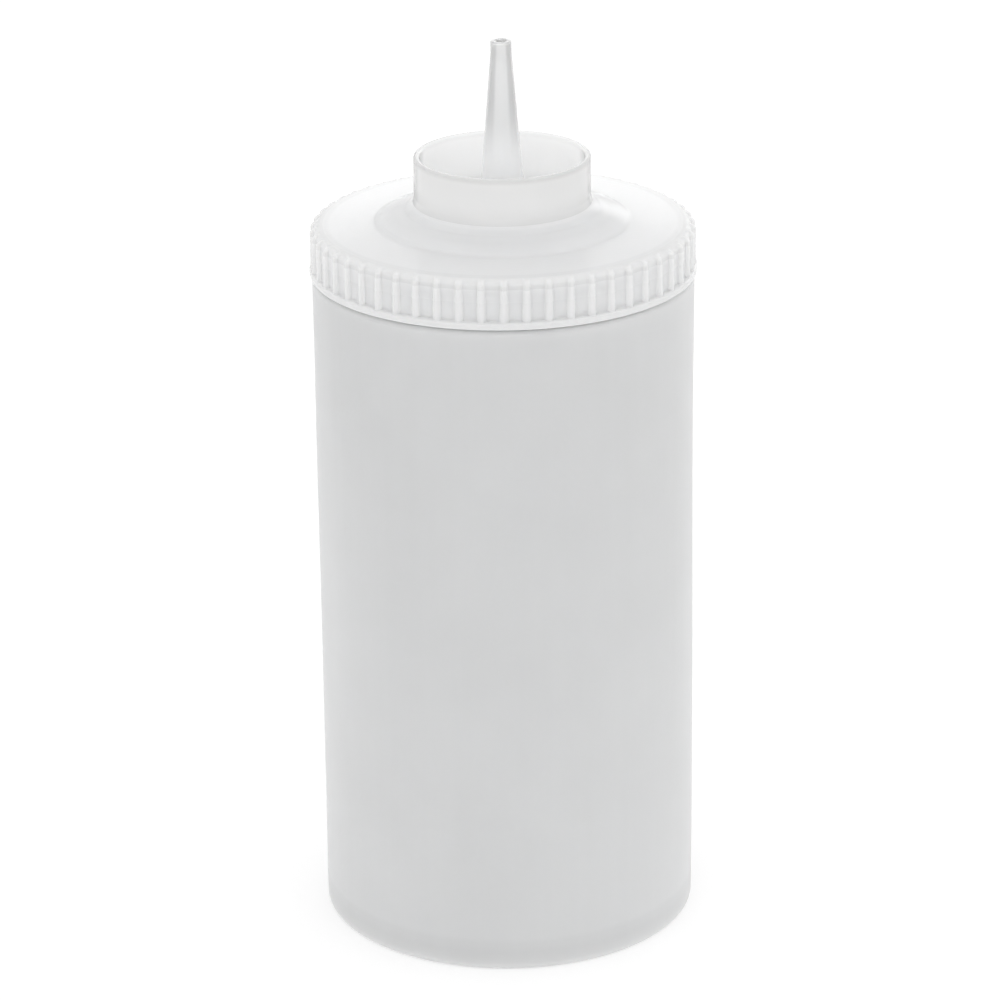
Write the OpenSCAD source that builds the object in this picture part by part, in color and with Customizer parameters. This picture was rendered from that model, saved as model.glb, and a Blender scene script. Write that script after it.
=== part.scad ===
// Wide-mouth squeeze bottle for sauce: a blow-moulded bottle, a captive
// sealing liner and a ribbed screw cap with an open collar round a cone
// nozzle.  Millimetres, +Z up, origin at the middle of the standing ring.

/* [Bottle body] */
// Outside diameter of the straight body
body_d = 88.9; // [86:0.1:92]
// Height of the flat shoulder that carries the neck
shoulder_z = 159.4; // [130:0.1:175]
// Wall thickness of the blown body
wall = 1.2; // [0.9:0.1:1.8]
// Outside radius of the heel, where the side turns under
heel_r = 1.5; // [1:0.1:3]
// Outside radius of the shoulder edge under the cap
shoulder_r = 1.2; // [1:0.1:2.2]
// Width of the flat ring that the bottle stands on
stand_w = 3.6; // [2.5:0.1:6]
// Height of the push-up at the middle of the base
push_up = 4.8; // [3:0.1:8]
// Thickness of the base panel
base_t = 1.7; // [1.2:0.1:2.5]

/* [Neck finish] */
// Outside diameter of the neck wall, at the thread root
neck_d = 80.6; // [80:0.1:80.8]
// Outside diameter over the neck thread
neck_thread_d = 83.0; // [82.6:0.1:83.2]
// Wall thickness of the neck
neck_wall = 1.8; // [1.4:0.1:2.2]
// Height of the neck above the shoulder
neck_h = 8.8; // [8.6:0.1:9]
// Rise of the thread in one turn
pitch = 5.08; // [5.0:0.01:5.15]
// Length of the neck thread in turns
neck_turns = 1.1; // [0.9:0.05:1.1]

/* [Cap skirt] */
// Diameter over the grip ribs
rib_d = 89.6; // [89.4:0.1:90]
// Diameter between the grip ribs
skirt_d = 87.9; // [87.6:0.1:88.3]
// Number of grip ribs
rib_n = 54; // [30:1:60]
// Radius of each rounded rib
rib_r = 1.05; // [0.8:0.05:1.2]
// Diameter of the smooth bead at the bottom edge
lip_d = 90.2; // [90:0.1:91]
// Height of the smooth bead
lip_h = 1.2; // [1.1:0.1:2.6]
// Gap between the shoulder and the seated cap
seat_gap = 0.7; // [0.5:0.1:1]
// Inside diameter of the skirt, at the thread root
cap_bore_d = 84.2; // [84:0.1:84.4]
// Diameter inside the cap thread
cap_thread_d = 81.8; // [81.6:0.1:82]
// Length of the cap thread in turns
cap_turns = 1.0; // [0.6:0.05:1.05]

/* [Cap top] */
// Height of the top of the shoulder above the reference height
edge_rise = 0.3; // [0:0.1:0.6]
// Thickness of the top where it bears on the liner
plate_t = 1.6; // [1.2:0.1:2]
// Outside radius of the rib crests where they run over the shoulder
rib_round_r = 2.0; // [1.6:0.1:3]
// Outside radius of the skin between the ribs at the same place
skin_round_r = 1.6; // [1.2:0.1:2.4]
// Rise of the slightly conical top from the shoulder to the tier
crown = 0.8; // [0:0.1:1.2]
// Radius of the foot of the raised tier
tier_r = 29.2; // [27:0.1:33]
// Radius of the top of the raised tier
tier_top_r = 22.6; // [22.4:0.1:24]
// Rise of the tier at its foot
tier_step = 0.7; // [0.5:0.1:1.2]
// Rise of the whole tier above the reference height
tier_h = 4.0; // [3.6:0.1:4.6]

/* [Collar] */
// Outside diameter of the open collar
collar_d = 41.0; // [39:0.1:42]
// Height of the collar rim above the reference height
collar_h = 16.5; // [12:0.1:20]
// Wall thickness of the collar
collar_wall = 1.4; // [1.1:0.1:1.8]
// Floor of the collar above the reference height
cup_floor = 4.7; // [4.2:0.1:6]

/* [Nozzle] */
// Height of the nozzle tip above the reference height
nozzle_h = 43.6; // [30:0.1:50]
// Outside diameter at the tip
tip_d = 4.9; // [4.4:0.1:6]
// Length of the straight land at the tip
tip_land = 3.0; // [2:0.1:5]
// Diameter of the outlet hole
outlet_d = 2.4; // [1.5:0.1:2.8]
// Outside diameter of the cone where it meets its foot flare
cone_d = 9.9; // [9:0.1:11]
// Height of the foot flare above the collar floor
flare_h = 5.4; // [4:0.1:6]
// Radius of the foot flare at the collar floor
flare_r = 8.6; // [7.5:0.1:10]
// Thickness of the cone wall at its foot
cone_wall = 1.4; // [1.2:0.1:1.8]

/* [Liner] */
// Thickness of the liner
liner_t = 1.1; // [0.8:0.05:1.3]
// Inside diameter of the liner
liner_id = 75.8; // [75.6:0.1:76]
// Outside diameter of the liner
liner_od = 81.0; // [80.8:0.1:81.2]

/* [Hidden] */

R = body_d / 2;
neck_r = neck_d / 2;
rim_z = shoulder_z + neck_h;        // top of the neck
under_z = rim_z + liner_t;          // underside of the flat cap top
top_z = under_z + plate_t;          // reference height of the cap top
edge_z = top_z + edge_rise;         // top of the rounded shoulder
foot_z = edge_z + crown;            // the conical top at the foot of the tier
lip_z = shoulder_z + seat_gap;      // bottom edge of the seated cap
bore_r = cap_bore_d / 2;
skin_r = skirt_d / 2;
crest_r = rib_d / 2;
tip_z = top_z + nozzle_h;
floor_z = top_z + cup_floor;
rim_collar_z = top_z + collar_h;
cr = collar_d / 2;
thread_hw = 1.2;                    // half width of either thread at its root
crest_hw = 0.45;                    // half width of either thread at its crest
dome_e = R - heel_r - stand_w - 0.9; // radius where the push-up dome ends
dome_d = push_up - 1.0;              // rise of the dome
dome_r = (dome_e * dome_e + dome_d * dome_d) / (2 * dome_d);
dome_a = asin(dome_e / dome_r);
neck_thread_z = shoulder_z + 1.9;   // middle of the neck thread at its start
flank_gap = 1.65;                   // drop from the neck thread to the cap thread
cap_thread_from = 135;              // turn angle at which the cap thread begins
seg = 6.6;                          // thread step in degrees

// points along an arc in the r-z plane
function arc(c, r, a0, a1, n) =
    [for (i = [0:n]) let (a = a0 + (a1 - a0) * i / n) [c[0] + r * cos(a), c[1] + r * sin(a)]];

// one thread section at turn angle a: the root side first, then the crest
// side.  k is 1 for a full section and 0 where the thread has run out.
function section(a, z, root, embed, crest, k) =
    let (rr = root + embed, rc = root + embed * 0.4 + (crest - root - embed * 0.4) * k,
         h0 = thread_hw, h1 = crest_hw + (thread_hw * 0.8 - crest_hw) * (1 - k))
    [[rr * cos(a), rr * sin(a), z - h0], [rc * cos(a), rc * sin(a), z - h1],
     [rc * cos(a), rc * sin(a), z + h1], [rr * cos(a), rr * sin(a), z + h0]];

// a thread as one closed band that runs out into its wall at both ends;
// embed is negative for a thread on the outside of a wall
module thread(root, crest, embed, z0, a0, turns) {
    n = round(turns * 360 / seg);
    fade = 4;
    pts = [for (i = [0:n]) each section(a0 + i * turns * 360 / n,
            z0 + pitch * i * turns / n, root, embed, crest,
            min(1, i / fade, (n - i) / fade))];
    out = embed > 0;
    quad = [for (i = [0:n - 1], j = [0:3])
        let (a = 4 * i + j, b = 4 * i + (j + 1) % 4, c = a + 4, d = b + 4)
        each (out ? [[a, c, b], [b, c, d]] : [[a, b, c], [b, d, c]])];
    ends = out ? [[0, 1, 2], [0, 2, 3], [4 * n + 2, 4 * n + 1, 4 * n], [4 * n + 3, 4 * n + 2, 4 * n]]
               : [[2, 1, 0], [3, 2, 0], [4 * n, 4 * n + 1, 4 * n + 2], [4 * n, 4 * n + 2, 4 * n + 3]];
    polyhedron(points = pts, faces = concat(quad, ends), convexity = 10);
}

// the blown bottle: body, heel, push-up base, shoulder and threaded neck
module bottle() {
    outer = concat(
        arc([0, push_up - dome_r], dome_r, 90, 90 - dome_a, 6),
        [[R - heel_r - stand_w, 0]],
        arc([R - heel_r, heel_r], heel_r, -90, 0, 6),
        arc([R - shoulder_r, shoulder_z - shoulder_r], shoulder_r, 0, 90, 7),
        [[neck_r + 0.8, shoulder_z], [neck_r, shoulder_z + 0.8],
         [neck_r, rim_z - 0.35], [neck_r - 0.35, rim_z]]);
    ir = R - wall;
    nr = neck_r - neck_wall;
    zi = shoulder_z - wall;
    inner = concat(
        [[nr + 0.35, rim_z], [nr, rim_z - 0.35], [nr, zi + 1.6], [nr + 1.4, zi + 0.1],
         [ir - 1.4, zi - 0.3], [ir - 0.4, zi - 1.0], [ir, zi - 2.2]],
        arc([ir - 3.4, base_t + 3.4], 3.4, 0, -80, 7),
        arc([0, push_up + base_t - dome_r], dome_r, 90 - dome_a * 0.95, 90, 6));
    color([0.86, 0.87, 0.87, 0.8]) union() {
        rotate_extrude($fn = 180) polygon(concat(outer, inner));
        thread(neck_r, neck_thread_d / 2, -0.5, neck_thread_z, 0, neck_turns);
    }
}

// the flat ring that seals the cap to the rim of the neck
module cap_liner() {
    color([0.93, 0.93, 0.91]) translate([0, 0, rim_z]) difference() {
        cylinder(d = liner_od, h = liner_t, $fn = 180);
        translate([0, 0, -1]) cylinder(d = liner_id, h = liner_t + 2, $fn = 180);
    }
}

// the turned section of the cap: skirt, flat top, tier, collar and nozzle
module cap_section() {
    ret_r = liner_id / 2 - 0.3;
    tilt = atan2(top_z + tier_h - foot_z - tier_step, tier_r - 0.9 - tier_top_r);
    ceil_z = foot_z - plate_t - 0.5;
    polygon(concat(
        // bottom edge, smooth bead, skin between the ribs, rounded shoulder
        [[bore_r, lip_z + 0.5], [bore_r + 0.5, lip_z]],
        arc([lip_d / 2 - 0.5, lip_z + 0.5], 0.5, -90, 0, 3),
        arc([lip_d / 2 - 0.5, lip_z + lip_h - 0.5], 0.5, 0, 90, 3),
        [[skin_r, lip_z + lip_h + 0.15]],
        arc([skin_r - skin_round_r, edge_z - skin_round_r], skin_round_r, 0, 86, 6),
        // conical top, foot of the tier, cone of the tier, foot of the collar
        [[tier_r + 0.5, foot_z], [tier_r, foot_z + 0.12], [tier_r - 0.3, foot_z + 0.35],
         [tier_r - 0.5, foot_z + tier_step - 0.15], [tier_r - 0.9, foot_z + tier_step],
         [tier_top_r, top_z + tier_h]],
        [[cr + 0.9, top_z + tier_h + 0.75], [cr + 0.25, top_z + tier_h + 1.6], [cr, top_z + tier_h + 2.7]],
        // collar wall, rounded rim, inside of the collar
        arc([cr - 0.55, rim_collar_z - 0.55], 0.55, 0, 90, 4),
        arc([cr - collar_wall + 0.45, rim_collar_z - 0.45], 0.45, 90, 180, 4),
        [[cr - collar_wall, floor_z + 1.2], [cr - collar_wall - 0.35, floor_z + 0.35],
         [cr - collar_wall - 1.2, floor_z]],
        // flared foot, cone and tip of the nozzle
        [for (i = [0:6]) let (t = i / 6)
            [flare_r + (cone_d / 2 - flare_r) * (1 - pow(1 - t, 2.4)), floor_z + flare_h * pow(t, 1.5)]],
        [[tip_d / 2, tip_z - tip_land], [tip_d / 2, tip_z - 0.35],
         [tip_d / 2 - 0.1, tip_z - 0.1], [tip_d / 2 - 0.35, tip_z],
         // outlet hole, cone channel and funnel
         [outlet_d / 2, tip_z], [outlet_d / 2, tip_z - tip_land],
         [cone_d / 2 - cone_wall, floor_z + flare_h],
         [cone_d / 2 - cone_wall + 0.5, floor_z + 1.6],
         [cone_d / 2 + 0.6, floor_z - 0.8], [cone_d / 2 + 1.6, floor_z - plate_t],
         // underside of the collar floor, of the tier and of the flat top
         [cr - collar_wall, floor_z - plate_t],
         [tier_top_r - plate_t * sin(tilt), top_z + tier_h - plate_t * cos(tilt)],
         [tier_r - 1.6, ceil_z + tier_step + 0.1], [tier_r - 0.9, ceil_z + 0.15], [tier_r - 0.3, ceil_z],
         // ring that keeps the liner in place
         [ret_r - 1.1, under_z], [ret_r - 0.9, under_z - 1.8], [ret_r - 0.2, under_z - 1.8],
         [ret_r, under_z - 1.5], [ret_r, under_z],
         // corner and bore of the skirt
         [bore_r - 1.2, under_z], [bore_r - 0.35, under_z - 0.35], [bore_r, under_z - 1.3]]));
}

// the grip ribs: round ridges that run up to the shoulder and fade out there
module grip_ribs() {
    z0 = lip_z + lip_h - 0.8;
    rib_top_z = edge_z - 0.12;
    intersection() {
        rotate_extrude($fn = 180) polygon(concat(
            [[skin_r - 4, z0], [crest_r, z0]],
            arc([crest_r - rib_round_r, rib_top_z - rib_round_r], rib_round_r, 0, 90, 6),
            [[skin_r - 4, rib_top_z]]));
        for (i = [0:rib_n - 1])
            rotate([0, 0, -90 + i * 360 / rib_n]) translate([crest_r - rib_r, 0, z0 - 1])
                cylinder(r = rib_r, h = edge_z - z0 + 2, $fn = 24);
    }
}

// the one-piece cap: turned section, grip ribs and inside thread
module screw_cap() {
    color([0.9, 0.9, 0.9, 0.9]) union() {
        rotate_extrude($fn = 180) cap_section();
        grip_ribs();
        thread(bore_r, cap_thread_d / 2, 0.5,
               neck_thread_z - flank_gap + pitch * cap_thread_from / 360,
               cap_thread_from, cap_turns);
    }
}

bottle();
cap_liner();
screw_cap();
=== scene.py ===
import math

import bpy
import numpy as np
from mathutils import Matrix, Vector


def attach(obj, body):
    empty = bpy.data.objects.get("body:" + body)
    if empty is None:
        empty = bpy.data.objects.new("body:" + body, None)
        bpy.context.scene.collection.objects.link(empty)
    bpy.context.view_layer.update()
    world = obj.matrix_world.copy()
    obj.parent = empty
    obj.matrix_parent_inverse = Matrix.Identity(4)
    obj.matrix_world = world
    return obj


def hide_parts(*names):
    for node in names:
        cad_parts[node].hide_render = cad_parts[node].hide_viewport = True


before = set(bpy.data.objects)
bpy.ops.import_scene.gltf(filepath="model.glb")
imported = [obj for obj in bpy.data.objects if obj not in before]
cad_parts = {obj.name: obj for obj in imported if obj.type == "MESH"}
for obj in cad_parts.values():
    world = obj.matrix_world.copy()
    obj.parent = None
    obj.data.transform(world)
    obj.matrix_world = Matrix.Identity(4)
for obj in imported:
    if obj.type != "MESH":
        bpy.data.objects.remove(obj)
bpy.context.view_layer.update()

MM = 0.001
PITCH = 5.08


# ---------------------------------------------------------------- profiles
def rounded(corners, turn=9.0, longest=6.0, near=0.35):
    """A profile in the r-z plane, in millimetres, from corners (r, z, fillet radius). Fillets become arcs
    with a point every `turn` degrees, and a straight stretch gets a point close to each end and one
    every `longest`, so that smooth shading stays inside the fillets."""
    pts = []
    n = len(corners)
    for i, (r, z, f) in enumerate(corners):
        p = np.array([r, z], float)
        if i in (0, n - 1) or f <= 0:
            pts.append([p])
            continue
        a = np.array(corners[i - 1][:2], float) - p
        b = np.array(corners[i + 1][:2], float) - p
        la, lb = np.linalg.norm(a), np.linalg.norm(b)
        a, b = a / la, b / lb
        ang = math.acos(max(-1, min(1, float(a @ b))))
        t = f / math.tan(ang / 2)
        t = min(t, la * 0.49 if i > 1 else la * 0.98, lb * 0.49 if i < n - 2 else lb * 0.98)
        f = t * math.tan(ang / 2)
        c = p + (a + b) / np.linalg.norm(a + b) * (f / math.sin(ang / 2))
        s, e = p + a * t, p + b * t
        a0 = math.atan2(*(s - c)[::-1])
        a1 = math.atan2(*(e - c)[::-1])
        d = (a1 - a0 + math.pi) % (2 * math.pi) - math.pi
        k = max(2, math.ceil(abs(math.degrees(d)) / turn))
        pts.append([c + f * np.array([math.cos(a0 + d * j / k), math.sin(a0 + d * j / k)]) for j in range(k + 1)])
    out = [pts[0][0]]
    for i in range(len(pts) - 1):
        s, e = pts[i][-1], pts[i + 1][0]
        l = np.linalg.norm(e - s)
        if l > 1e-6:
            stops = []
            if l > 3.2 * near:
                stops = [near / l]
                k = max(1, math.ceil((l - 2 * near) / longest))
                stops += [(near + (l - 2 * near) * j / k) / l for j in range(1, k)]
                stops += [1 - near / l]
            out += [s + (e - s) * t for t in stops]
        if i + 1 < len(pts):
            out += [q for q in pts[i + 1] if np.linalg.norm(q - out[-1]) > 1e-6]
    return np.array(out)


def resample(path, step):
    """The same path with no stretch longer than step."""
    out = [path[0]]
    for a, b in zip(path[:-1], path[1:]):
        k = max(1, math.ceil(np.linalg.norm(b - a) / step))
        out += [a + (b - a) * j / k for j in range(1, k + 1)]
    return np.array(out)


# ---------------------------------------------------------------- lathe
class Lathe:
    """A turned mesh: rings of points round Z. A ring may have more points than the next one, as long as
    the coarse ring's angles are among the fine ring's."""

    def __init__(self):
        self.co, self.faces, self.last, self.first = [], [], None, None

    def _add(self, pts):
        at = len(self.co)
        self.co.extend(pts)
        return at

    def ring(self, r, z, phi):
        """r and z are numbers or one value for each angle in phi (radians)."""
        phi = np.asarray(phi, float)
        r = np.broadcast_to(np.asarray(r, float), phi.shape)
        z = np.broadcast_to(np.asarray(z, float), phi.shape)
        if float(r.max()) < 1e-6:
            at = self._add([(0.0, 0.0, float(z[0]))])
            new = ("pole", at, phi)
        else:
            at = self._add(list(zip(r * np.cos(phi), r * np.sin(phi), z)))
            new = ("ring", at, phi)
        if self.last is not None:
            self._join(self.last, new)
        else:
            self.first = new
        self.last = new

    def _join(self, a, b):
        ka, ia, pa = a
        kb, ib, pb = b
        if ka == "pole" and kb == "pole":
            return
        if ka == "pole":
            n = len(pb)
            self.faces += [(ia, ib + (j + 1) % n, ib + j) for j in range(n)]
        elif kb == "pole":
            n = len(pa)
            self.faces += [(ib, ia + j, ia + (j + 1) % n) for j in range(n)]
        elif len(pa) == len(pb):
            n = len(pa)
            self.faces += [(ia + j, ia + (j + 1) % n, ib + (j + 1) % n, ib + j) for j in range(n)]
        else:
            fine, coarse, flip = (a, b, False) if len(pa) > len(pb) else (b, a, True)
            pf, pc = fine[2], coarse[2]
            nf, nc = len(pf), len(pc)
            at = [int(np.argmin(np.abs(pf - x))) for x in pc]
            for j in range(nc):
                k0, k1 = at[j], at[(j + 1) % nc]
                if k1 <= k0:
                    k1 += nf
                run = [fine[1] + k % nf for k in range(k0, k1 + 1)]
                face = run + [coarse[1] + (j + 1) % nc, coarse[1] + j]
                self.faces.append(tuple(face[::-1] if flip else face))

    def close(self):
        self._join(self.last, self.first)

    def extra(self, co, faces):
        at = self._add([tuple(c) for c in co])
        self.faces += [tuple(at + i for i in f) for f in faces]

    def object(self, name):
        me = bpy.data.meshes.new(name)
        me.from_pydata([(x * MM, y * MM, z * MM) for x, y, z in self.co], [], self.faces)
        me.validate()
        import bmesh

        bm = bmesh.new()
        bm.from_mesh(me)
        bmesh.ops.recalc_face_normals(bm, faces=bm.faces)
        bm.to_mesh(me)
        bm.free()
        me.shade_smooth()
        ob = bpy.data.objects.new(name, me)
        bpy.context.scene.collection.objects.link(ob)
        return ob


def smooth(x, a, b):
    t = np.clip((np.asarray(x, float) - a) / (b - a), 0, 1)
    return t * t * (3 - 2 * t)


def thread(phi, z, start, length, zc0, half_root, half_crest, height):
    """Height of a screw thread over its wall at angle phi (radians) and height z. The thread starts at
    `start` degrees and runs `length` degrees, and zc0 is its middle's height at angle 0."""
    deg = np.degrees(phi) % 360
    out = np.zeros(np.broadcast(deg, z).shape)
    for turn in range(-1, 3):
        a = deg + 360 * turn
        zc = zc0 + PITCH * a / 360
        run = np.clip(np.minimum(a - start, start + length - a) / 26.0, 0, 1)
        run = run * run * (3 - 2 * run)
        side = np.clip((half_root - np.abs(z - zc)) / (half_root - half_crest), 0, 1)
        side = side * side * (3 - 2 * side) * 0.35 + side * 0.65
        out = np.maximum(out, height * run * side)
    return out


# ---------------------------------------------------------------- the bottle
R = 44.45
SH = 159.4  # shoulder
NECK, RIM = 40.3, 168.2
WALL = 1.2


def body_wave(phi, z):
    """The slight unevenness of a blown wall, in millimetres, fading out at heel and shoulder."""
    k = smooth(z, 4, 26) * (1 - smooth(z, 132, 154))
    w = (
        0.085 * np.cos(2 * phi + 0.7 + z * 0.011)
        + 0.055 * np.cos(3 * phi - 1.1 + z * 0.027)
        + 0.045 * np.sin(5 * phi + z * 0.043 + 0.4)
        + 0.035 * np.sin(z * 0.083 + 2 * np.cos(phi + 0.5))
    )
    return w * k - 0.06 * k


def make_bottle():
    dome = (38.45**2 + 3.8**2) / 7.6
    drop = lambda r: dome - np.sqrt(dome**2 - r * r)
    base = [(r, 4.8 - drop(r)) for r in np.linspace(0, 37.6, 15)]
    outer = rounded(
        [(38.0, 4.8 - drop(38.0), 0), (38.5, 0.95, 0.6), (39.4, 0, 0.6), (R, 0, 1.5), (R, SH, 1.2), (NECK, SH, 0.8),
         (NECK, RIM, 0.35), (38.5, RIM, 0.35), (38.5, SH - 1.1, 1.6), (R - WALL, SH - 1.4, 2.0), (R - WALL, 1.72, 3.4),
         (40.4, 1.72, 2.0), (36.5, 6.5 - drop(36.5), 0)],
        turn=9.0, longest=4.0,
    )
    floor = [(r, 6.5 - drop(r)) for r in np.linspace(35.5, 0, 14)]
    path = np.vstack([base, outer, floor])
    # the neck's outer wall carries the thread, so it is cut finely
    fine = []
    for a, b in zip(path[:-1], path[1:]):
        fine.append(a)
        if abs(a[0] - NECK) < 0.01 and abs(b[0] - NECK) < 0.01:
            k = max(1, math.ceil(abs(b[1] - a[1]) / 0.17))
            fine += [a + (b - a) * j / k for j in range(1, k)]
    fine.append(path[-1])
    path = np.array(fine)

    phi = list(np.radians(np.arange(240) * 1.5))
    for c in (0.0, math.pi):  # the mould's parting line at both sides
        phi += [c + s / R for s in (-0.75, -0.5, -0.34, -0.2, -0.1, 0.1, 0.2, 0.34, 0.5, 0.75)]
    phi = np.array(sorted({round(p % (2 * math.pi), 9) for p in phi}))
    side = np.minimum(np.abs((phi + math.pi) % (2 * math.pi) - math.pi), np.abs(phi - math.pi))

    la = Lathe()
    peak = int(np.argmax(path[:, 1]))
    for i, (r, z) in enumerate(path):
        rr = np.full(len(phi), r)
        zz = np.full(len(phi), z)
        on_wall = abs(r - R) < 2.5 or abs(r - (R - WALL)) < 2.0
        if on_wall and 4 < z < 154:
            rr = rr + body_wave(phi, zz)
        if i < peak and z < SH - 0.2 and r > 43:
            # a fine raised line, soft at its sides
            rr = rr + 0.085 * np.exp(-((side * R / 0.24) ** 2)) * (0.35 + 0.65 * smooth(z, 0.6, 3.0))
        if i < peak and r < NECK + 0.01 and r > NECK - 0.01 and z > SH + 0.8:
            rr = rr + thread(phi, z, 0.0, 396.0, 161.3, 0.98, 0.45, 1.2)
        la.ring(rr, zz, phi)
    return la.object("bottle_shell")


# ---------------------------------------------------------------- the liner
def make_liner():
    la = Lathe()
    path = rounded([(39.2, 168.2, 0), (40.5, 168.2, 0.2), (40.5, 169.3, 0.2), (37.9, 169.3, 0.2), (37.9, 168.2, 0.2), (39.2, 168.2, 0)],
                   turn=15, longest=0.7, near=0.2)[:-1]
    phi = np.radians(np.arange(240) * 1.5)
    for i, (r, z) in enumerate(path):
        # the foam is a little uneven
        dz = 0.0
        if z < 168.3 and 38.6 < r < 40.2:
            dz = 0.0
        la.ring(r + 0.02 * np.sin(17 * phi + i), z + dz, phi)
    la.close()
    return la.object("liner_ring")


# ---------------------------------------------------------------- the cap
LIP_Z, LIP_TOP = 159.8, 161.25
SKIN, CREST, LIP = 43.95, 44.8, 45.08
EDGE, FOOT, UNDER = 171.2, 172.0, 169.3
BORE = 42.1
COL, COL_IN, COL_TOP = 20.5, 19.1, 187.4
FLOOR = 175.6
TIP = 214.5
RIBS = 54
ROUND = 1.6


def make_cap():
    pitch_mm = 2 * math.pi * SKIN / RIBS
    offs = [0.0, 0.3, 0.58, 0.8, 0.93, 1.03, 1.14, 1.3, 1.6, 2.1]
    offs = sorted({-o for o in offs} | set(offs))
    fine = []
    for k in range(RIBS):
        c = math.radians(-90 + 360 * k / RIBS)
        fine += [c + o / SKIN for o in offs] + [c + pitch_mm / 2 / SKIN]
    fine = np.array(sorted(p % (2 * math.pi) for p in fine))
    coarse = []
    for k in range(RIBS):
        c = math.radians(-90 + 360 * k / RIBS)
        coarse += [c, c + 1.3 / SKIN, c + pitch_mm / 2 / SKIN, c - 1.3 / SKIN]
    coarse = np.array(sorted(p % (2 * math.pi) for p in coarse))

    def rib(phi, width):
        """How far a rib stands out at that angle, with a small fillet at its foot."""
        x = (phi - math.radians(-90)) * SKIN
        x = ((x + pitch_mm / 2) % pitch_mm - pitch_mm / 2) / width
        h = np.sqrt(np.clip(1.05**2 - x * x, 0, None)) - 0.2
        k = 0.2
        h = np.clip(0.5 * (h + np.sqrt(h * h + k * k * np.clip(1.6 - abs(x), 0, 1))), 0, None) * (np.abs(x) < 1.55)
        return h / 0.862

    la = Lathe()
    # outer skirt, cut finely, from the inner edge of the lip to the flat top
    skirt = rounded(
        [(BORE + 0.55, LIP_Z, 0), (LIP, LIP_Z, 0.5), (LIP, LIP_TOP + 0.02, 0.6), (SKIN, LIP_TOP + 0.42, 0.5),
         (SKIN, EDGE, ROUND), (40.6, EDGE + 0.185, 0)],
        turn=7.0, longest=1.2, near=0.3,
    )
    for r, z in skirt:
        fade = 1.0
        if z > EDGE - ROUND - 0.05:
            a = math.degrees(math.atan2(z - (EDGE - ROUND), r - (SKIN - ROUND)))
            fade = float(1 - smooth(a, 8, 84)) if r > SKIN - ROUND + 0.01 else 0.0
            nx, nz = math.cos(math.radians(a)), math.sin(math.radians(a))
        else:
            nx, nz = 1.0, 0.0
        hgt = 0.85 * rib(fine, 0.78 + 0.24 * float(smooth(EDGE - z, 0, 7))) * fade
        # towards the lip bead the ribs run into its upper side
        gap = max(0.0, float(r) - SKIN)
        if z < LIP_TOP - 0.55:
            hgt = hgt * 0
        elif z < LIP_TOP + 0.6:
            hgt = np.clip(hgt - gap, 0, None)
        la.ring(r + hgt * nx, z + hgt * nz * 0.55, fine)
    # flat top, tier, collar, cup, nozzle, channel and underside, on the coarser ring
    cone = lambda t: (4.95 + (2.45 - 4.95) * t, 181.0 + (211.5 - 181.0) * t)
    flare = [(8.6 - 3.65 * (1 - (1 - t) ** 2.4), FLOOR + 5.4 * t**1.5) for t in np.linspace(0.12, 0.94, 9)]
    top = rounded(
        [(39.8, EDGE + 0.229, 0), (29.7, FOOT, 2.4), (28.3, FOOT + 0.66, 2.0), (22.65, 174.88, 1.4),
         (20.9, 176.0, 1.6), (COL, 178.0, 2.0), (COL, COL_TOP, 0.6), (COL_IN, COL_TOP, 0.6), (COL_IN, FLOOR, 1.2),
         (8.9, FLOOR, 0)],
        turn=9.0, longest=3.0,
    )
    inside = rounded(
        [(4.95, 181.0, 0), (2.45, 211.5, 3.0), (2.45, TIP, 0.35), (1.2, TIP, 0.25), (1.2, 211.5, 2.0), (3.55, 181.0, 6.0),
         (4.3, 177.0, 3.0), (6.9, 174.0, 1.5), (COL_IN, 174.0, 1.5), (22.0, 173.4, 1.5), (27.7, 170.75, 0.8), (28.9, FOOT - 2.1, 0.6),
         (36.5, UNDER, 0.3), (36.7, 167.5, 0.3), (37.6, 167.5, 0.3), (37.6, UNDER, 0.3), (BORE, UNDER, 1.3), (BORE, 168.2, 0)],
        turn=10.0, longest=3.0,
    )
    bore = np.array([(BORE, z) for z in np.arange(168.0, 160.75, -0.17)])
    end = np.array([(BORE, 160.6), (BORE + 0.15, 160.32)])
    for r, z in np.vstack([top, flare, inside]):
        la.ring(r, z, coarse)
    for r, z in bore:
        la.ring(r - thread(coarse, z, 135.0, 360.0, 159.65, 0.98, 0.45, 1.2), z, coarse)
    for r, z in end:
        la.ring(r, z, coarse)
    la.close()
    return la.object("cap_moulding")


# ---------------------------------------------------------------- materials
def nodes_of(name):
    m = bpy.data.materials.new(name)
    m.use_nodes = True
    nt = m.node_tree
    nt.nodes.clear()
    return m, nt


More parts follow.
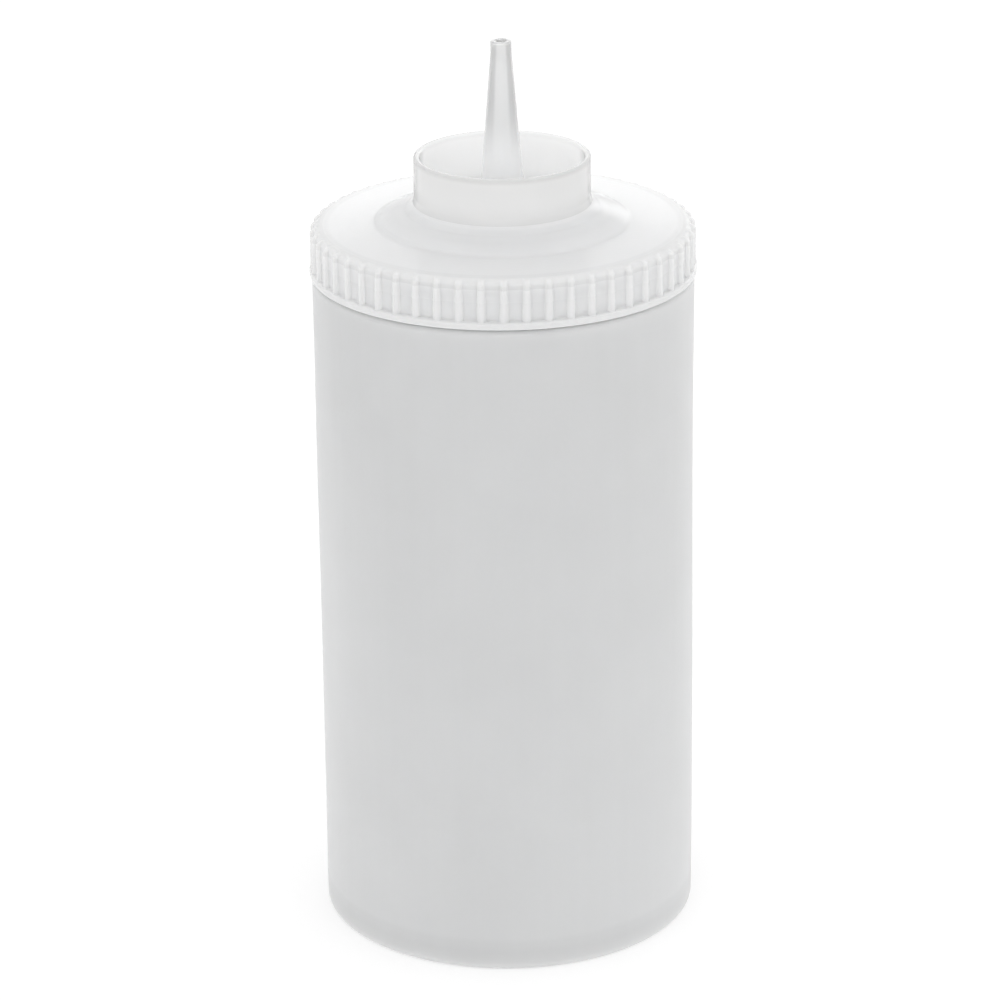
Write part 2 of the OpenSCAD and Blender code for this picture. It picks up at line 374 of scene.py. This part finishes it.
def plastic(name, dark, light, rough, rough_var, sss, heel=False, streaks=0.0, speckle=0.0, peel=0.05, cap=False):
    """Natural low-density polyethylene: milky, satin, a little cloudy, with moulding texture."""
    m, nt = nodes_of(name)
    N, L = nt.nodes.new, nt.links.new

    def math_node(op, a, b=None, c=None):
        n = N("ShaderNodeMath")
        n.operation = op
        for i, v in enumerate((a, b, c)):
            if v is None:
                continue
            if isinstance(v, (int, float)):
                n.inputs[i].default_value = v
            else:
                L(v, n.inputs[i])
        return n.outputs[0]

    def noise(scale, detail, vector):
        n = N("ShaderNodeTexNoise")
        n.inputs["Scale"].default_value = scale
        n.inputs["Detail"].default_value = detail
        n.inputs["Roughness"].default_value = 0.5
        L(vector, n.inputs["Vector"])
        return n.outputs["Fac"]

    def curve(value, stops):
        n = N("ShaderNodeValToRGB")
        n.color_ramp.interpolation = "EASE"
        e = n.color_ramp.elements
        e[0].position, e[0].color = stops[0][0], (stops[0][1],) * 3 + (1,)
        e[1].position, e[1].color = stops[-1][0], (stops[-1][1],) * 3 + (1,)
        for p, v in stops[1:-1]:
            e.new(p).color = (v, v, v, 1)
        L(value, n.inputs["Fac"])
        return n.outputs["Color"]

    def times(colour, factor):
        n = N("ShaderNodeMix")
        n.data_type = "RGBA"
        n.blend_type = "MULTIPLY"
        n.inputs["Factor"].default_value = 1.0
        L(colour, n.inputs["A"])
        if isinstance(factor, float):
            n.inputs["B"].default_value = (factor, factor, factor, 1)
        else:
            L(factor, n.inputs["B"])
        return n.outputs["Result"]

    out = N("ShaderNodeOutputMaterial")
    bsdf = N("ShaderNodeBsdfPrincipled")
    L(bsdf.outputs[0], out.inputs["Surface"])
    tc = N("ShaderNodeTexCoord").outputs["Object"]
    cloud = noise(34.0, 2.0, tc)
    fine = noise(1100.0, 2.0, tc)
    stretch = N("ShaderNodeMapping")
    stretch.inputs["Scale"].default_value = (1.0, 1.0, 0.03)
    L(tc, stretch.inputs["Vector"])
    lines = noise(300.0, 2.0, stretch.outputs[0])

    # colour: soft clouds, faint draw lines along the axis, a fine speckle
    pattern = math_node("MULTIPLY_ADD", lines, streaks, cloud)
    pattern = math_node("MULTIPLY_ADD", fine, speckle, pattern)
    pattern = math_node("SUBTRACT", pattern, (streaks + speckle) / 2)
    mix = N("ShaderNodeMix")
    mix.data_type = "RGBA"
    mix.inputs["A"].default_value = (*dark, 1)
    mix.inputs["B"].default_value = (*light, 1)
    L(pattern, mix.inputs["Factor"])
    colour = mix.outputs["Result"]

    sep = N("ShaderNodeSeparateXYZ")
    L(tc, sep.inputs[0])
    if heel:
        # a darker band around the heel, from the floor up to about 8.5 mm and darkest near 4.5 mm
        z = math_node("MULTIPLY", sep.outputs["Z"], 100.0)
        colour = times(colour, curve(z, ((0.0, 1.0), (0.10, 0.96), (0.45, 0.935), (0.66, 0.96), (0.85, 1.0))))
        # painted shade on the upper left of the wall and painted light on its lower right, as light falling from the
        # right would give
        def ease(value, a, b, lo, hi):
            n = N("ShaderNodeMapRange")
            n.interpolation_type = "SMOOTHSTEP"
            for k, v in zip(("From Min", "From Max", "To Min", "To Max"), (a, b, lo, hi)):
                n.inputs[k].default_value = v
            L(value, n.inputs["Value"])
            return n.outputs[0]

        left_painted_shade = math_node("MULTIPLY", ease(sep.outputs["X"], -0.040, -0.014, 1.0, 0.0), ease(sep.outputs["Z"], 0.06, 0.14, 0.0, 1.0))
        # thin: painted light on the lower right of the wall
        thin = math_node("MULTIPLY", ease(sep.outputs["X"], -0.004, 0.030, 0.0, 1.0), ease(sep.outputs["Z"], 0.045, 0.11, 1.0, 0.0))
        side_painted_shading = math_node("MULTIPLY_ADD", left_painted_shade, -0.05, 1.0)
        side_painted_shading = math_node("MULTIPLY_ADD", thin, 0.04, side_painted_shading)
        colour = times(colour, side_painted_shading)
        # painted light on the shoulder's top and the neck, lifting the shade in the gap under the cap's lip, with a
        # thin painted shade line just below the shoulder's edge
        top = N("ShaderNodeMapRange")
        top.inputs["From Min"].default_value = 0.1570
        top.inputs["From Max"].default_value = 0.1600
        L(sep.outputs["Z"], top.inputs["Value"])
        colour = times(colour, curve(top.outputs[0], ((0.0, 0.82), (0.3, 0.82), (0.55, 0.775), (0.76, 0.82), (0.82, 1.0))))
        colour = times(colour, 1.0 / 0.82)
        # the satin wall has less gloss where it is seen at a slant
        face = N("ShaderNodeLayerWeight")
        face.inputs["Blend"].default_value = 0.5
        face = face.outputs["Facing"]
        L(curve(face, ((0.0, 0.5), (0.35, 0.40), (0.6, 0.09), (0.8, 0.06), (1.0, 0.05))), bsdf.inputs["Specular IOR Level"])
        # the pinch-off seam across the push-up of the base
        across = math_node("ABSOLUTE", math_node("MULTIPLY_ADD", noise(90.0, 1.0, tc), 0.0003, math_node("SUBTRACT", sep.outputs["Y"], 0.00015)))
        along = math_node("ABSOLUTE", sep.outputs["X"])
        seam = math_node("MULTIPLY", ease(across, 0.00015, 0.00055, 1.0, 0.0), ease(along, 0.0255, 0.0272, 1.0, 0.0))
        seam = math_node("MULTIPLY", seam, math_node("LESS_THAN", sep.outputs["Z"], 0.0051))
    if cap:
        # the thin walls of collar and nozzle let some light through; seen at a slant, like clear plastic, they
        # send back less of it
        face = N("ShaderNodeLayerWeight")
        face.inputs["Blend"].default_value = 0.5
        face = face.outputs["Facing"]
        x2 = math_node("MULTIPLY", sep.outputs["X"], sep.outputs["X"])
        r2 = math_node("MULTIPLY_ADD", sep.outputs["Y"], sep.outputs["Y"], x2)
        z = sep.outputs["Z"]

        def ease(value, a, b):
            n = N("ShaderNodeMapRange")
            n.interpolation_type = "SMOOTHSTEP"
            n.inputs["From Min"].default_value = a
            n.inputs["From Max"].default_value = b
            L(value, n.inputs["Value"])
            return n.outputs[0]

        def both(*parts):
            v = parts[0]
            for q in parts[1:]:
                v = math_node("MULTIPLY", v, q)
            return v

        r = math_node("SQRT", r2)
        over = lambda v, at: math_node("GREATER_THAN", v, at)
        under = lambda v, at: math_node("LESS_THAN", v, at)
        near = under(r, 0.0095)
        tube = both(near, ease(z, 0.185, 0.203))
        clear_wall = curve(face, ((0.0, 0.0), (0.66, 0.0), (0.80, 0.18), (0.93, 0.42), (1.0, 0.42)))
        clear_cone = curve(face, ((0.0, 0.0), (0.07, 0.02), (0.22, 0.25), (0.42, 0.30), (0.7, 0.20), (1.0, 0.12)))

        def choose(factor, a, b):
            n = N("ShaderNodeMix")
            n.data_type = "RGBA"
            L(factor, n.inputs["Factor"])
            for name, v in (("A", a), ("B", b)):
                if isinstance(v, float):
                    n.inputs[name].default_value = (v, v, v, 1)
                else:
                    L(v, n.inputs[name])
            return n.outputs["Result"]

        thin = both(over(r, 0.0185), under(r, 0.0211), over(z, 0.1765))
        L(choose(tube, both(thin, clear_wall), clear_cone), bsdf.inputs["Transmission Weight"])
        # painted light and shade, zone by zone: painted shade on the outside of the collar, growing towards its rim,
        # on the rim, the rib crests, the lip bead, the skirt, the corner over it and the upper nozzle; painted light
        # on the inside of the collar, the foot of the nozzle, the dip round the collar's foot, the flat top and tier,
        # the gaps between the ribs and the shaded underside of the lip
        less_of = lambda v: math_node("SUBTRACT", 1.0, v)
        rim = both(over(r, 0.0188), ease(z, 0.1858, 0.1872))
        band = both(ease(r, 0.0400, 0.0414), over(z, 0.1690))
        gap = both(over(r, 0.0424), over(z, 0.1616), less_of(ease(r, 0.0440, 0.0446)))
        parts = (
            (both(over(r, 0.0199), over(z, 0.1765)), -0.135),
            (both(over(r, 0.0199), ease(z, 0.180, 0.1865)), -0.05),
            (rim, -0.16),
            (both(over(r, 0.0424), over(z, 0.1616), ease(r, 0.0441, 0.0447)), -0.08),
            (gap, 0.01),
            (both(near, ease(z, 0.2085, 0.2115)), -0.03),
            (both(near, ease(z, 0.186, 0.200)), -0.04),
            (both(ease(r, 0.0200, 0.0210), less_of(ease(r, 0.0232, 0.0256)), over(z, 0.1730), less_of(over(z, 0.1765))), 0.06),
            (both(over(r, 0.0436), less_of(ease(z, 0.1609, 0.1620))), -0.14),
            (both(over(r, 0.0424), over(z, 0.16155), under(z, 0.1700)), -0.02),
            (band, -0.08),
            (both(ease(r, 0.0412, 0.0428), over(z, 0.1690)), -0.02),
            (both(over(r, 0.0424), under(z, 0.1601)), 0.20),
            (both(over(r, 0.0095), under(r, 0.0195), over(z, 0.1754)), 0.155),
            (both(over(r, 0.0210), under(r, 0.0418), over(z, 0.1705)), 0.045),
            (both(near, over(z, 0.1754), less_of(ease(z, 0.184, 0.197))), 0.23),
        )
        # the painted light and shade zones above, summed into one factor on the colour
        painted_shading = 1.0
        for mask, amount in parts:
            painted_shading = math_node("MULTIPLY_ADD", mask, amount, painted_shading)
        colour = times(colour, painted_shading)
        shine = curve(face, ((0.0, 0.5), (0.74, 0.5), (0.86, 0.30), (1.0, 0.06)))
        dull = math_node("MULTIPLY_ADD", math_node("MAXIMUM", both(ease(r, 0.0404, 0.0424), over(z, 0.1660)), rim), -0.8, 1.0)
        L(both(shine, dull), bsdf.inputs["Specular IOR Level"])
        # the walls of the nozzle are thin, so light spreads less far in them
        L(math_node("MULTIPLY_ADD", near, 0.0018 - sss, sss), bsdf.inputs["Subsurface Scale"])
    L(colour, bsdf.inputs["Base Color"])

    rr = math_node("MULTIPLY_ADD", cloud, 2 * rough_var, rough - rough_var)
    L(rr, bsdf.inputs["Roughness"])

    bump = N("ShaderNodeBump")
    bump.inputs["Strength"].default_value = peel
    bump.inputs["Distance"].default_value = 0.0004
    L(math_node("MULTIPLY_ADD", lines, 0.6 if streaks else 0.1, fine), bump.inputs["Height"])
    surface = bump.outputs[0]
    if heel:
        ridge = N("ShaderNodeBump")
        ridge.inputs["Strength"].default_value = 0.8
        ridge.inputs["Distance"].default_value = 0.0003
        L(seam, ridge.inputs["Height"])
        L(surface, ridge.inputs["Normal"])
        surface = ridge.outputs[0]
    L(surface, bsdf.inputs["Normal"])

    bsdf.inputs["IOR"].default_value = 1.51
    bsdf.inputs["Subsurface Weight"].default_value = 1.0
    bsdf.inputs["Subsurface Radius"].default_value = (1.0, 0.98, 0.95)
    if not cap:
        bsdf.inputs["Subsurface Scale"].default_value = sss
    return m


def foam(name):
    m, nt = nodes_of(name)
    N, L = nt.nodes.new, nt.links.new
    out = N("ShaderNodeOutputMaterial")
    bsdf = N("ShaderNodeBsdfPrincipled")
    L(bsdf.outputs[0], out.inputs["Surface"])
    tc = N("ShaderNodeTexCoord")
    cell = N("ShaderNodeTexVoronoi")
    cell.inputs["Scale"].default_value = 2600.0
    L(tc.outputs["Object"], cell.inputs["Vector"])
    ramp = N("ShaderNodeValToRGB")
    ramp.color_ramp.elements[0].color = (0.86, 0.86, 0.84, 1)
    ramp.color_ramp.elements[1].color = (0.72, 0.72, 0.70, 1)
    L(cell.outputs["Distance"], ramp.inputs["Fac"])
    L(ramp.outputs["Color"], bsdf.inputs["Base Color"])
    bump = N("ShaderNodeBump")
    bump.inputs["Strength"].default_value = 0.35
    bump.inputs["Distance"].default_value = 0.0002
    L(cell.outputs["Distance"], bump.inputs["Height"])
    L(bump.outputs[0], bsdf.inputs["Normal"])
    bsdf.inputs["Roughness"].default_value = 0.72
    return m


# ---------------------------------------------------------------- assembly
bottle = make_bottle()
cap = make_cap()
liner = make_liner()

bottle.data.materials.append(plastic("bottle_polyethylene", (0.606, 0.609, 0.610), (0.672, 0.675, 0.676), 0.36, 0.03, 0.004,
                                     heel=True, streaks=0.22, speckle=0.05, peel=0.08))
cap.data.materials.append(plastic("cap_polyethylene", (0.735, 0.737, 0.738), (0.785, 0.787, 0.788), 0.16, 0.02, 0.005,
                                  speckle=0.05, peel=0.05, cap=True))
liner.data.materials.append(foam("liner_foam"))
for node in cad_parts.values():  # the CAD nodes are hidden behind the pieces below, but keep a finish
    node.data.materials.clear()
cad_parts["bottle"].data.materials.append(bottle.data.materials[0])
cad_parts["screw_cap"].data.materials.append(cap.data.materials[0])
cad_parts["cap_liner"].data.materials.append(liner.data.materials[0])

for piece, body, node, slot in ((bottle, "bottle", "bottle", "bottle_plastic"), (cap, "cap", "screw_cap", "cap_plastic"),
                                (liner, "liner", "cap_liner", "liner_foam")):
    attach(piece, body)
    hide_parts(node)

# ---------------------------------------------------------------- stage and light
floor = bpy.data.meshes.new("floor")
floor.from_pydata([(-6, -6, 0), (6, -6, 0), (6, 6, 0), (-6, 6, 0)], [], [(0, 1, 2, 3)])
floor_ob = bpy.data.objects.new("floor", floor)
bpy.context.scene.collection.objects.link(floor_ob)
fm, fnt = nodes_of("pale_floor")
fo = fnt.nodes.new("ShaderNodeOutputMaterial")
fb = fnt.nodes.new("ShaderNodeBsdfPrincipled")
fb.inputs["Base Color"].default_value = (0.62, 0.62, 0.62, 1)
fb.inputs["Emission Color"].default_value = (1, 1, 1, 1)
fb.inputs["Emission Strength"].default_value = 0.42
fb.inputs["Roughness"].default_value = 0.9
fb.inputs["Specular IOR Level"].default_value = 0.1
fnt.links.new(fb.outputs[0], fo.inputs["Surface"])
floor.materials.append(fm)

sc = bpy.context.scene
sc.view_settings.view_transform = "Standard"
sc.view_settings.look = "None"
world = bpy.data.worlds.new("studio")
sc.world = world
world.use_nodes = True
bg = world.node_tree.nodes["Background"]
bg.inputs["Color"].default_value = (1, 1, 1, 1)
bg.inputs["Strength"].default_value = 1.0


def area(name, loc, target, size, power):
    d = bpy.data.lights.new(name, "AREA")
    d.shape = "RECTANGLE"
    d.size, d.size_y = size
    d.energy = power
    o = bpy.data.objects.new(name, d)
    o.location = loc
    o.rotation_mode = "QUATERNION"
    o.rotation_quaternion = (Vector(target) - Vector(loc)).to_track_quat("-Z", "Y")
    sc.collection.objects.link(o)
    return o


area("key_right", (0.85, -0.55, 0.75), (0, 0, 0.12), (0.9, 0.9), 0.35)
area("fill_left", (-0.25, -1.15, 0.55), (0, 0, 0.12), (0.9, 0.9), 1.3)
area("back_soft", (0.44, 1.0, 0.375), (0.44, 0, 0.17), (1.15, 0.26), 0.68)

# ---------------------------------------------------------------- camera
cam = bpy.data.cameras.new("camera")
cam.sensor_width = 36.0
cam.sensor_fit = "AUTO"
cam.lens = 159.2
cam_ob = bpy.data.objects.new("camera", cam)
sc.collection.objects.link(cam_ob)
sc.camera = cam_ob
elev, dist, roll = math.radians(21.06), 1.05, math.radians(-0.632)
aim = Vector((-0.00135, 0.0, 0.10206))
back = Vector((0, -math.cos(elev), math.sin(elev)))
right = Vector((1, 0, 0))
up = back.cross(right)
r2 = math.cos(roll) * right + math.sin(roll) * up
u2 = -math.sin(roll) * right + math.cos(roll) * up
m = Matrix((r2, u2, back)).transposed().to_4x4()
m.translation = aim + back * dist
cam_ob.matrix_world = m
cam.clip_start, cam.clip_end = 0.05, 50
cam.dof.use_dof = False
